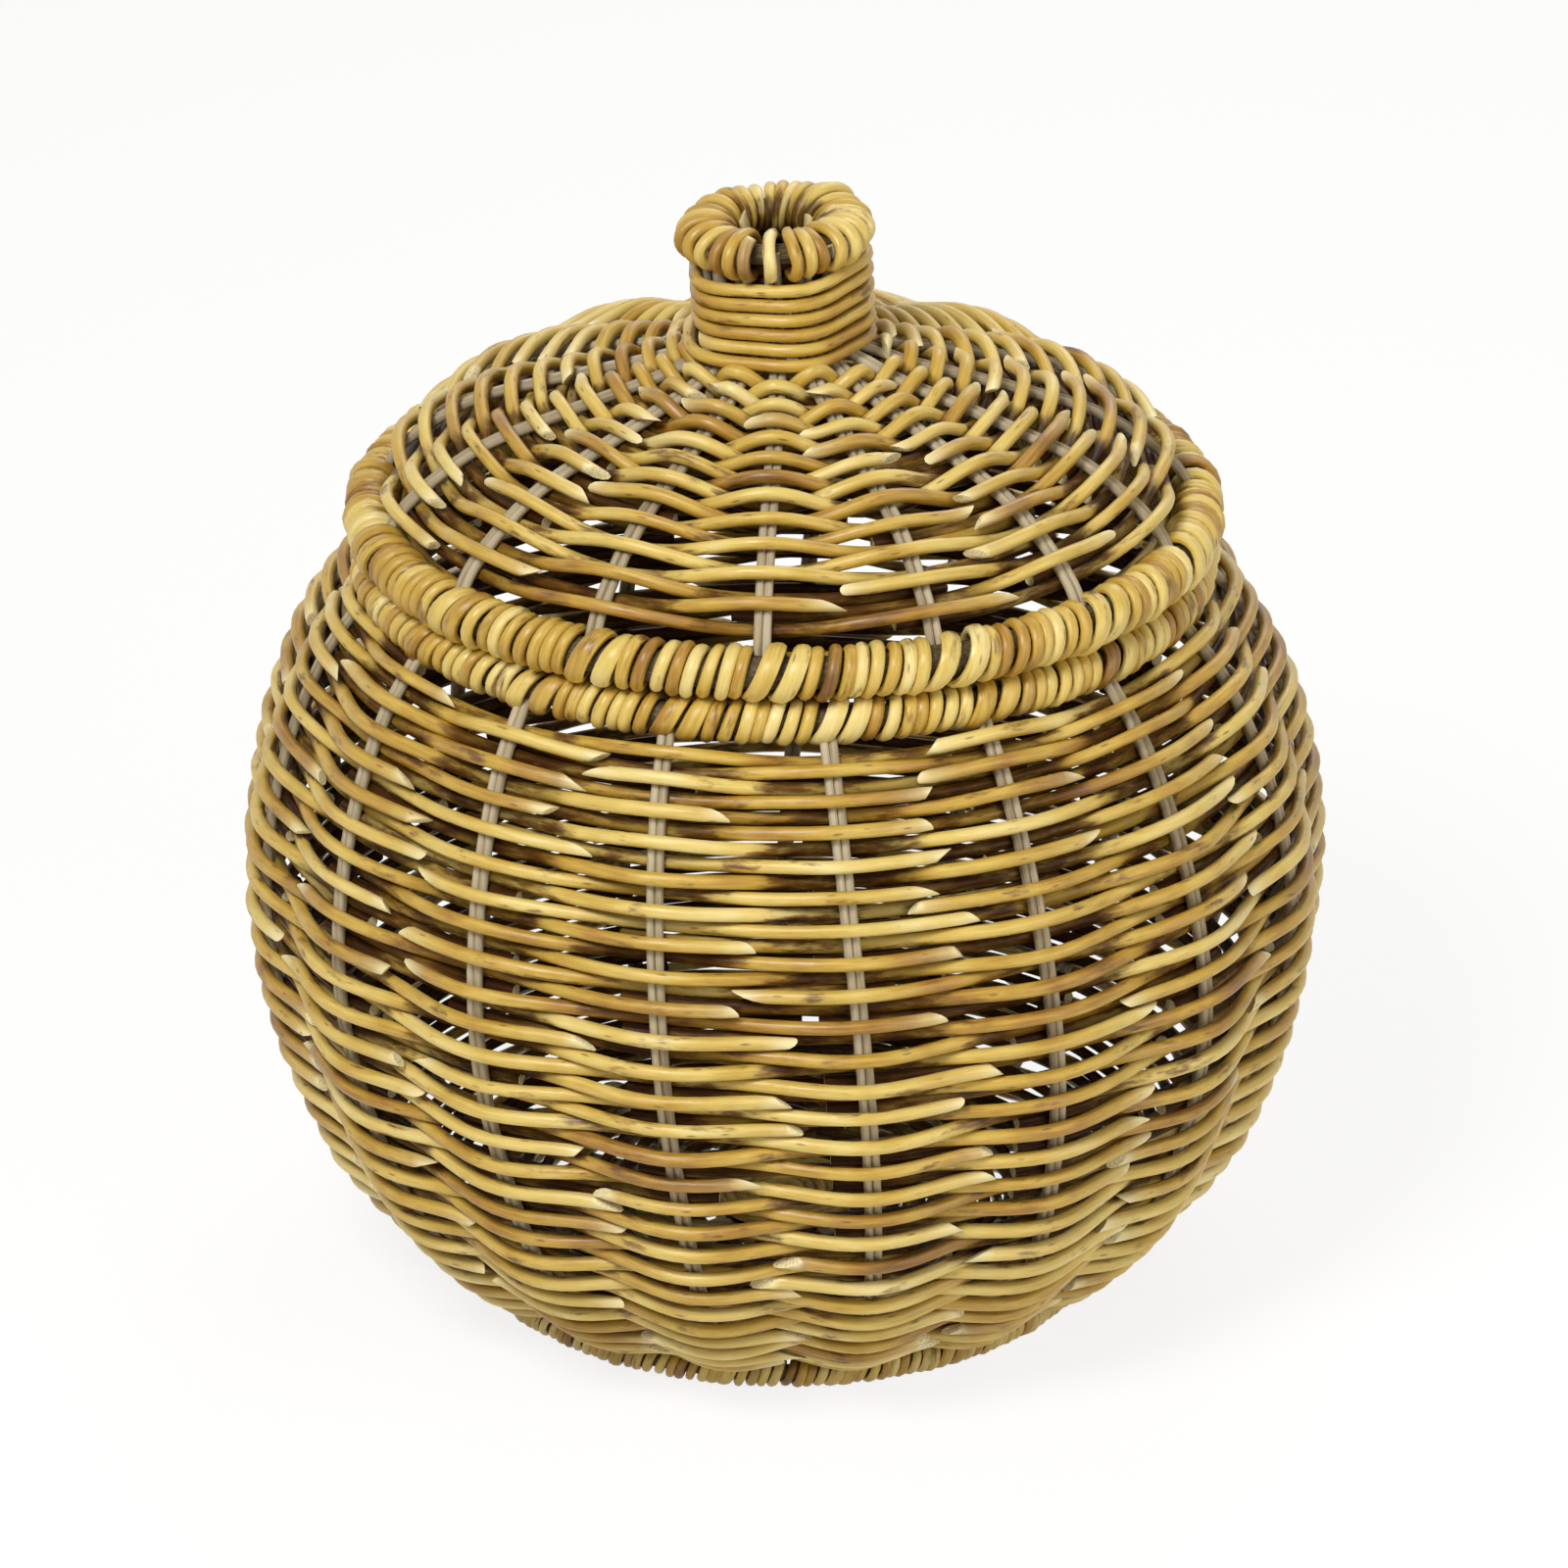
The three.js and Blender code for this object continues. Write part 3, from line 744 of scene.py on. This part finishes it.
def over_and_under(passed, begin, begin_cut, finish, finish_cut, last):
    """How far out a strand lies, from 1 over a stake to -1 under it.

    A cut end sinks a little past its stake, and a tucked end stays inside.
    """
    plain = np.cos(math.pi * passed)
    tucked = -(TUCK_DEPTH + TUCK_WAVE * plain ** 2)
    wave = plain
    if begin_cut:
        away = round(begin + CUT_PAST) - passed
        wave = np.where(away > 0, 1 - CUT_SINK * smooth(away / CUT_SINK_REACH), wave)
    elif begin > 1:
        wave = np.where(passed < round(begin) + 1, tucked, wave)
    if finish_cut:
        away = passed - round(finish - CUT_PAST)
        wave = np.where(away > 0, 1 - CUT_SINK * smooth(away / CUT_SINK_REACH), wave)
    elif finish < last:
        wave = np.where(passed > round(finish) - 1, tucked, wave)
    return wave


def weave(bundles, spine, stakes, azimuth, lean_at, start, end, pitch_at, thickness_at, chords_at, level=0.0,
          divide=math.inf, first_stake=0, shares=WALL_JOINS, arch=1.0):
    """Weaves a wall: strands over and under the stakes, one row a turn.

    Strands that lie higher than the divide go into the last bundle.
    """
    grid = np.linspace(start, end, SPINE_STEPS)
    rows = np.concatenate([[0], np.cumsum(np.diff(grid) / pitch_at((grid[1:] + grid[:-1]) / 2))])
    last = 2 * math.floor((rows[-1] * stakes - 1) / 2) + 1
    for begin, begin_cut, finish, finish_cut in joins(1, last, *shares):
        steps = max(LEAST_STEPS, round((finish - begin) * STEPS_PER_STAKE))
        passed = np.linspace(begin, finish, steps)
        wave = over_and_under(passed, begin, begin_cut, finish, finish_cut, last)
        along = np.interp(np.clip(passed / stakes, 0, rows[-1]), rows, grid)
        drift = chance.uniform(-DRIFT, DRIFT)
        drift = drift + WANDER * np.sin(passed * chance.uniform(*WANDER_RATES) + chance.uniform(0, TURN))
        radius, up, out_r, out_z = spine.at(along + drift * wave ** 2)
        pull = chords_at(up) * radius * (1 - math.cos(math.pi / stakes)) * np.sin(math.pi * passed) ** 2
        size = thickness_at(up) * chance.uniform(*SIZE_SPREAD)
        reach = (STAKE_ROD + size) / 2 * wave * arch * chance.uniform(*REACH_SPREAD) - pull
        angle = math.radians(azimuth) + lean_at(up) + (passed + first_stake) * TURN / stakes
        # Painted shade where the strand dips under a stake, and near a tucked end that is hidden
        painted_shade = smooth((DIP_FROM - wave) / DIP_SPAN) * chance.uniform(*DIP_SHADES)
        for away, cut in ((passed - begin, begin_cut), (finish - passed, finish_cut)):
            if not cut:
                painted_shade = painted_shade + HIDDEN_SHADE * np.exp(-away / HIDDEN_REACH)
        bundle = bundles[-1] if up.mean() > divide else bundles[0]
        bundle.strand(
            around(angle, radius + out_r * reach, up + out_z * reach + level), around(angle, out_r, out_z),
            size / 2, painted_shade=painted_shade,
            start_cut=slant() if begin_cut else None, end_cut=slant() if finish_cut else None,
        )


def stake_pairs(name, body, nodes, spine, stakes, azimuth, lean_at, start, end, level=0.0):
    """Pairs of thin stakes side by side, from the start of a wall to its hoop."""
    radius, height, out_r, out_z = spine.at(np.linspace(start, end, STAKE_STEPS))
    for index in range(stakes):
        pair = Bundle(THIN_SIDES)
        angle = math.radians(azimuth) + TURN * index / stakes + lean_at(height)
        sideways = np.stack([-np.sin(angle), np.cos(angle), np.zeros_like(angle)], 1)
        for side in (-1, 1):
            path = around(angle, radius, height + level) + side * STAKE_SPACING / 2 * sideways
            pair.strand(path, around(angle, out_r, out_z), STAKE_WIDTH / 2, STAKE_ROD / 2)
        number = f"{index + 1:02d}"
        dress(pair.piece(f"{name}_{number}", STAKE_FINISH), body, "stake", f"{nodes}_{number}")


def hoop(name, radius, rod, height):
    """A round hoop rod."""
    deselect()
    bpy.ops.mesh.primitive_torus_add(
        major_radius=radius * MM, minor_radius=rod / 2 * MM, location=(0, 0, height * MM),
        major_segments=HOOP_STEPS, minor_segments=HOOP_SIDES,
    )
    made = bpy.context.active_object
    made.name = made.data.name = name
    bpy.ops.object.transform_apply(location=True, rotation=True, scale=True)
    bpy.ops.object.shade_smooth()
    made.data.materials.append(HOOP_FINISH)
    return made


def waves(turns, kinds):
    """Slow waves along the turns of a strand, added up."""
    return sum(size * np.sin(turns * rate + start) for size, rate, start in kinds)


def wrapping(radius, height, rod, strand, stakes, azimuth, turns_per_stake, stride, sides=STRAND_SIDES,
             steps=WRAP_STEPS, fill=WRAP_FILL):
    """The strand that wraps a hoop; two turns stride aslant over each stake's end."""
    wrap = Bundle(sides)
    pitch = (TURN * radius / stakes - stride) / turns_per_stake
    total = stakes * turns_per_stake
    slants = [stake * turns_per_stake + turn for stake in range(stakes + 1) for turn in (0, 1)]
    tones = [chance.uniform(*WRAP_TONES) for _ in range(total + 2)]
    tones = np.array([WRAP_BROWN if chance.random() < WRAP_BROWN_SHARE else tone for tone in tones])
    begin = 0
    while begin < total:
        finish = min(total, begin + chance.randint(*WRAP_RUNS))
        turns = np.linspace(
            begin - WRAP_STARTS, finish - chance.uniform(*WRAP_STOPS), round((finish - begin) * steps))
        aslant = sum(np.exp(-((turns - place) / ASLANT_REACH) ** 4) for place in slants)
        strides = sum(smooth((turns - place + STRIDE_BEFORE) / STRIDE_SPAN) for place in slants)
        turned = TURN * turns
        arc = turns * pitch + (strides / 2 - STRIDE_BACK) * stride
        arc = arc + pitch * (WRAP_BEND * np.sin(turned) + waves(turns, WRAP_SPACING_WAVES))
        angle = math.radians(azimuth) + arc / radius
        swell = 1 + waves(turns, WRAP_SWELL_WAVES) + ASLANT_SWELL * aslant
        reach = (rod + strand) / 2 * swell
        out_r, out_z = np.cos(turned), np.sin(turned)
        wide = pitch * (fill + waves(turns, WRAP_WIDTH_WAVES) + ASLANT_WIDTH * aslant)
        # Painted shade on the inward side of each wrapping turn
        wrap.strand(
            around(angle, radius + reach * out_r, height + reach * out_z), around(angle, out_r, out_z),
            wide, strand / 2, painted_shade=WRAP_SHADE * smooth(WRAP_SHADE_FROM - out_r),
            tone=tones[np.round(turns).astype(int)], start_cut=(WRAP_CUT, 0.0),
            end_cut=(chance.uniform(*WRAP_CUT_LENGTHS), chance.uniform(-WRAP_CUT_LEAN, WRAP_CUT_LEAN)),
        )
        begin = finish
    return wrap


def body_wall():
    """Wall and stakes of the body, the strands in a lower and an upper piece."""
    start = body_spine.along_at_radius(WALL_START_RADIUS)
    end = body_spine.length - RIM_TUBE - RIM_OPEN_GAP
    lower, upper = Bundle(), Bundle()
    weave(
        [lower, upper], body_spine, BODY_STAKES, BODY_STAKE_AZIMUTH, body_lean, start, end,
        pitch_at=lambda along: np.interp((along - start) / (end - start), WALL_PITCH_SHARES, WALL_PITCHES),
        thickness_at=lambda up: np.interp(up, WALL_STRAND_LEVELS, WALL_STRANDS),
        chords_at=lambda up: np.interp(up, WALL_CHORD_LEVELS, WALL_CHORDS),
        divide=WALL_DIVIDE,
    )
    dress(lower.piece("wall_strands_lower", WALL_FINISH), "basket", "strand", "body_weave")
    dress(upper.piece("wall_strands_upper", WALL_FINISH), "basket", "strand", "body_weave")
    stake_pairs(
        "wall_stakes", "basket", "body_stake_pair", body_spine, BODY_STAKES, BODY_STAKE_AZIMUTH, body_lean,
        BODY_STAKE_START, body_spine.length - RIM_ROD / 2,
    )


def base():
    """The base: strands woven over the stakes, and a coil above and below where the stakes meet."""
    strands = Bundle(THIN_SIDES)
    weave(
        [strands], body_spine, BODY_STAKES, BODY_STAKE_AZIMUTH, body_lean,
        body_spine.along_at_radius(BASE_START_RADIUS), body_spine.along_at_radius(BASE_END_RADIUS),
        pitch_at=steady(BASE_PITCH), thickness_at=steady(BASE_STRAND), chords_at=steady(BASE_CHORDS),
        shares=BASE_JOINS,
    )
    dress(strands.piece("base_strands", WALL_FINISH), "basket", "strand", "base_weave")

    centre = Bundle()
    for side in (-1, 1):
        turns = np.linspace(*COIL_TURNS, COIL_STEPS)
        path = around(side * TURN * turns, COIL_START + turns * COIL_STRAND, BASE_LEVEL + side * COIL_APART)
        out = np.tile([0.0, 0.0, float(side)], (COIL_STEPS, 1))
        centre.strand(path, out, COIL_STRAND / 2, painted_shade=COIL_SHADE)
    dress(centre.piece("base_centre_coils", WALL_FINISH), "basket", "strand", "base_centre")


def foot_and_rim():
    """The wrapped hoops of the body, under the base and round the mouth."""
    dress(hoop("foot_hoop_rod", FOOT_RADIUS, FOOT_ROD, FOOT_HEIGHT), "basket", "hoop", "foot_hoop")
    foot = wrapping(
        FOOT_RADIUS, FOOT_HEIGHT, FOOT_ROD, FOOT_STRAND, BODY_STAKES, BODY_STAKE_AZIMUTH, FOOT_TURNS,
        FOOT_STRIDE, THIN_SIDES, FOOT_STEPS, FOOT_FILL,
    )
    dress(foot.piece("foot_wrapping", WRAP_FINISH), "basket", "wrap", "foot_wrap")
    dress(hoop("rim_hoop_rod", RIM_RADIUS, RIM_ROD, RIM_HEIGHT), "basket", "hoop", "rim_hoop")
    rim = wrapping(
        RIM_RADIUS, RIM_HEIGHT, RIM_ROD, RIM_STRAND, BODY_STAKES, RIM_STAKE_AZIMUTH, RIM_TURNS, RIM_STRIDE,
    )
    dress(rim.piece("rim_wrapping", WRAP_FINISH), "basket", "wrap", "rim_wrap")


def lid_dome():
    """Dome and stakes of the lid."""
    dome = Bundle()
    start = LID_TUBE + LID_OPEN_GAP
    end = lid_spine.along_at_radius(DOME_INNER_RADIUS)
    weave(
        [dome], lid_spine, LID_STAKES, LID_STAKE_AZIMUTH, upright, start, end,
        pitch_at=lambda along: np.interp(along, (start, end), DOME_PITCHES),
        thickness_at=steady(STRAND), chords_at=steady(DOME_CHORDS), level=LID_LEVEL,
        first_stake=DOME_FIRST_STAKE, shares=DOME_JOINS, arch=DOME_ARCH,
    )
    dress(dome.piece("dome_strands", WALL_FINISH), "lid", "strand", "lid_weave")
    stake_pairs(
        "dome_stakes", "lid", "lid_stake_pair", lid_spine, LID_STAKES, LID_STAKE_AZIMUTH, upright,
        LID_ROD / 2, lid_spine.length, LID_LEVEL,
    )


def lid_rim():
    """The lid's wrapped hoop and the band of strands inside it."""
    dress(hoop("lid_hoop_rod", LID_RADIUS, LID_ROD, LID_LEVEL), "lid", "hoop", "lid_rim_hoop")
    rim = wrapping(
        LID_RADIUS, LID_LEVEL, LID_ROD, LID_STRAND, LID_STAKES, LID_STAKE_AZIMUTH, LID_TURNS, LID_STRIDE,
    )
    dress(rim.piece("lid_wrapping", WRAP_FINISH), "lid", "wrap", "lid_rim_wrap")

    band = Bundle(THIN_SIDES)
    for row in range(BAND_ROWS):
        angle = np.linspace(0, TURN, BAND_STEPS + 1) + row * BAND_SHIFT
        reach = BAND_RADIUS + BAND_WAVE * np.sin(angle * BAND_WAVES + row)
        path = around(angle, reach, BAND_LEVEL + row * BAND_PITCH)
        band.strand(path, around(angle, 1.0, 0.0), BAND_STRAND / 2)
    dress(band.piece("locating_band_strands", WALL_FINISH), "lid", "hoop", "lid_locating_band")


def neck_coil(first, last):
    """Turns past the front, angle, reach and height of the neck's winding from one place on it to another."""
    past = np.linspace(first, last, round((last - first) * NECK_STEPS))
    angle = math.radians(NECK_FRONT) + TURN * past
    reach = NECK_COIL + NECK_FLAT * np.cos(NECK_CORNERS * (angle - math.radians(NECK_CORNER)))
    tilt = KNOB_TILT * reach * np.cos(angle) * smooth(past / NECK_LOOPS)
    return past, angle, reach, LID_LEVEL + NECK_START + NECK_PITCH * past + tilt


def neck_winding():
    """The neck's coils: the lowest one stands off at the left, and the next one shows its cut end there."""
    neck = Bundle(WOUND_SIDES)

    def coil(angle, reach, height, cut):
        neck.strand(
            around(angle, reach, height), around(angle, 1.0, 0.0), NECK_STRAND / 2, painted_shade=NECK_SHADE,
            tone=NECK_TONE, start_cut=(cut, NECK_CUT_LEAN),
        )

    def tuck(past, last, span):
        return TUCK_IN * smooth((past - last) / span + 1)

    past, angle, reach, height = neck_coil(*LOWEST_COIL)
    flare = LOWEST_FLARE * smooth((LOWEST_FLARE_PLACE - past) / LOWEST_FLARE_SPAN)
    drop = LOWEST_DROP * NECK_PITCH * np.maximum(-past, 0)
    coil(angle, reach + flare - tuck(past, LOWEST_COIL[1], TUCK_SPANS[0]), height + drop, LOWEST_CUT)

    past, angle, reach, height = neck_coil(*UPPER_COILS)
    loose = UPPER_LOOSE * smooth((UPPER_LOOSE_PLACE - past) / UPPER_LOOSE_SPAN)
    coil(angle, reach + loose - tuck(past, UPPER_COILS[1], TUCK_SPANS[1]), height, UPPER_CUT)

    _, angle, _, height = neck_coil(*FILLING_COILS)
    wide, deep = FILLING_SIZE
    # The filling strand inside the coils is darkened by painted shade and a low tone, and shows dark in the
    # gaps between the coils
    neck.strand(
        around(angle, FILLING_RADIUS, height + NECK_PITCH), around(angle, 1.0, 0.0),
        NECK_PITCH * wide, NECK_STRAND * deep, painted_shade=FILLING_SHADE, tone=FILLING_TONE,
    )
    dress(neck.piece("neck_coils", WRAP_FINISH), "lid", "wrap", "knob_neck_winding")


def knob_loops():
    """The strand looped round the knob's ring.

    One loop stands alone at the front, and the loops swell at the back and at one side. Three tips of strand
    stand up inside the ring.
    """
    round_ring = TURN * (np.arange(KNOB_LOOPS) + 0.5) / KNOB_LOOPS
    spaces = 1 - KNOB_CROWDED * np.cos(2 * round_ring)
    spaces += [chance.uniform(-KNOB_SPACE_SPREAD, KNOB_SPACE_SPREAD) for _ in range(KNOB_LOOPS)]
    spaces[0] = spaces[-1] = KNOB_FRONT_SPACE * (1 - KNOB_CROWDED)
    azimuths = np.concatenate([[0], np.cumsum(spaces)]) * TURN / spaces.sum() + math.radians(KNOB_FRONT)
    sizes = np.array([chance.uniform(*KNOB_SIZES) for _ in range(KNOB_LOOPS + 1)])
    sizes[1] += KNOB_LONG_LOOP
    sways = np.array([chance.uniform(-KNOB_SWAY, KNOB_SWAY) for _ in range(KNOB_LOOPS)])
    for swell, azimuth, width in KNOB_SWELLS:
        sizes += swell * np.exp(-((azimuths - math.radians(azimuth)) / width) ** 2)
    tones = np.array([chance.uniform(*KNOB_TONES) for _ in range(KNOB_LOOPS + 1)])

    turns = np.linspace(-KNOB_STARTS, KNOB_LOOPS - KNOB_STOPS, KNOB_LOOPS * KNOB_STEPS)
    loop = np.clip(np.floor(turns).astype(int), 0, KNOB_LOOPS - 1)
    share = turns - loop
    crossed = smooth((share - KNOB_CROSS_FROM) / KNOB_CROSS_SPAN)
    share = KNOB_ADVANCE * share + (1 - KNOB_ADVANCE) * crossed
    turned = TURN * turns
    angle = azimuths[loop] + (azimuths[loop + 1] - azimuths[loop]) * share
    angle = angle + sways[loop] * np.maximum(np.sin(turned), 0)
    size = sizes[loop] + (sizes[loop + 1] - sizes[loop]) * share
    middle = KNOB_MIDDLE_RADIUS + KNOB_LOOP_WIDTH * np.cos(turned) * size
    tilt = KNOB_TILT * middle * np.cos(angle)
    height = LID_LEVEL + KNOB_LEVEL + KNOB_LOOP_HEIGHT * np.sin(turned) * size + tilt
    inner = smooth(-np.cos(turned))
    side = KNOB_SIDE_WIDTH * np.cos(angle) ** 2
    knob = Bundle(WOUND_SIDES)
    # Painted shade on the inside of each loop, where it faces the ring's hole
    knob.strand(
        around(angle, middle, height), around(angle, np.cos(turned), np.sin(turned)),
        KNOB_STRAND / 2 * (KNOB_WIDE + side - (KNOB_NARROW + side) * inner), KNOB_STRAND / 2,
        painted_shade=KNOB_SHADE * inner, tone=tones[np.round(turns).astype(int)],
        start_cut=KNOB_START_CUT, end_cut=KNOB_END_CUT,
    )
    for azimuth, radius, length in KNOB_TIPS:
        rise = np.linspace(-length, length, TIP_STEPS)
        angle = math.radians(azimuth) + rise * TIP_TWIST
        path = around(angle, radius + TIP_LEAN * rise, LID_LEVEL + KNOB_LEVEL - TIP_DROP + rise)
        knob.strand(
            path, around(angle, 1.0, 0.0), KNOB_STRAND * TIP_SIZE, painted_shade=TIP_SHADE, end_cut=TIP_CUT)
    dress(knob.piece("knob_loops", WRAP_FINISH), "lid", "wrap", "knob_ring_winding")


def knob_core():
    """The stakes' tops bent round as the core that the loops go over."""
    core = Bundle(THIN_SIDES)
    angle = np.linspace(0, TURN, CORE_STEPS + 1)
    for rod in range(CORE_RODS):
        turned = TURN * rod / CORE_RODS
        reach = CORE_RADIUS + CORE_REACH * math.cos(turned) + CORE_WAVE * np.sin(CORE_WAVES * angle + rod)
        tilt = KNOB_TILT * reach * np.cos(angle)
        height = LID_LEVEL + KNOB_LEVEL + CORE_REACH * math.sin(turned) + tilt
        core.strand(around(angle, reach, height), around(angle, 1.0, 0.0), STAKE_ROD / 2)
    # The core takes the dark brown hoop finish instead of the stakes' grey-tan: painted shade in the gaps
    # between the loops
    dress(core.piece("knob_core_rods", HOOP_FINISH), "lid", "hoop", "knob_ring_core")


body_wall()
base()
foot_and_rim()
lid_dome()
lid_rim()
neck_winding()
knob_loops()
knob_core()


# Studio


def floor_finish():
    """Pale floor: white to the camera, with the object's soft shadow kept."""
    made = Finish("studio_floor")
    made.give("Base Color", FLOOR_PALE)
    made.give("Roughness", 0.9)
    glow = made.node("ShaderNodeEmission", Color=WHITE, Strength=FLOOR_GLOW)
    share = made.math("MULTIPLY", made.shown(), FLOOR_GLOW_SHARE)
    both = made.node("ShaderNodeMixShader", i0=share, i1=made.shader.outputs[0], i2=glow.outputs[0])
    made.feed(made.nodes["Material Output"], "Surface", both.outputs[0])
    return made.material


def studio():
    """A plain pale floor, a white surround and soft lamps."""
    deselect()
    bpy.ops.mesh.primitive_circle_add(
        vertices=FLOOR_SIDES, radius=FLOOR_RADIUS, fill_type="NGON", location=(0, 0, 0))
    floor = bpy.context.active_object
    floor.name = "studio_floor"
    floor.data.materials.append(floor_finish())
    world = bpy.data.worlds.new("studio_surround")
    bpy.context.scene.world = world
    world.use_nodes = True
    surround = Nodes(world.node_tree)
    shown = surround.shown()
    level = surround.node("ShaderNodeMapRange", i0=shown, i3=SURROUND_LIGHT, i4=1.0)
    background = surround.nodes["Background"]
    surround.feed(background, "Strength", level.outputs[0])
    surround.feed(background, "Color", surround.mix(shown, SURROUND_TINT, WHITE))
    for name, place, size, power in LAMPS:
        lamp = bpy.data.objects.new(name, bpy.data.lights.new(name, "AREA"))
        bpy.context.scene.collection.objects.link(lamp)
        lamp.data.shape = "DISK"
        lamp.data.size = size
        lamp.data.energy = power
        lamp.location = place
        lamp.rotation_euler = turned_to(place, LAMP_AIM)
    bpy.context.scene.view_settings.view_transform = "Standard"


studio()
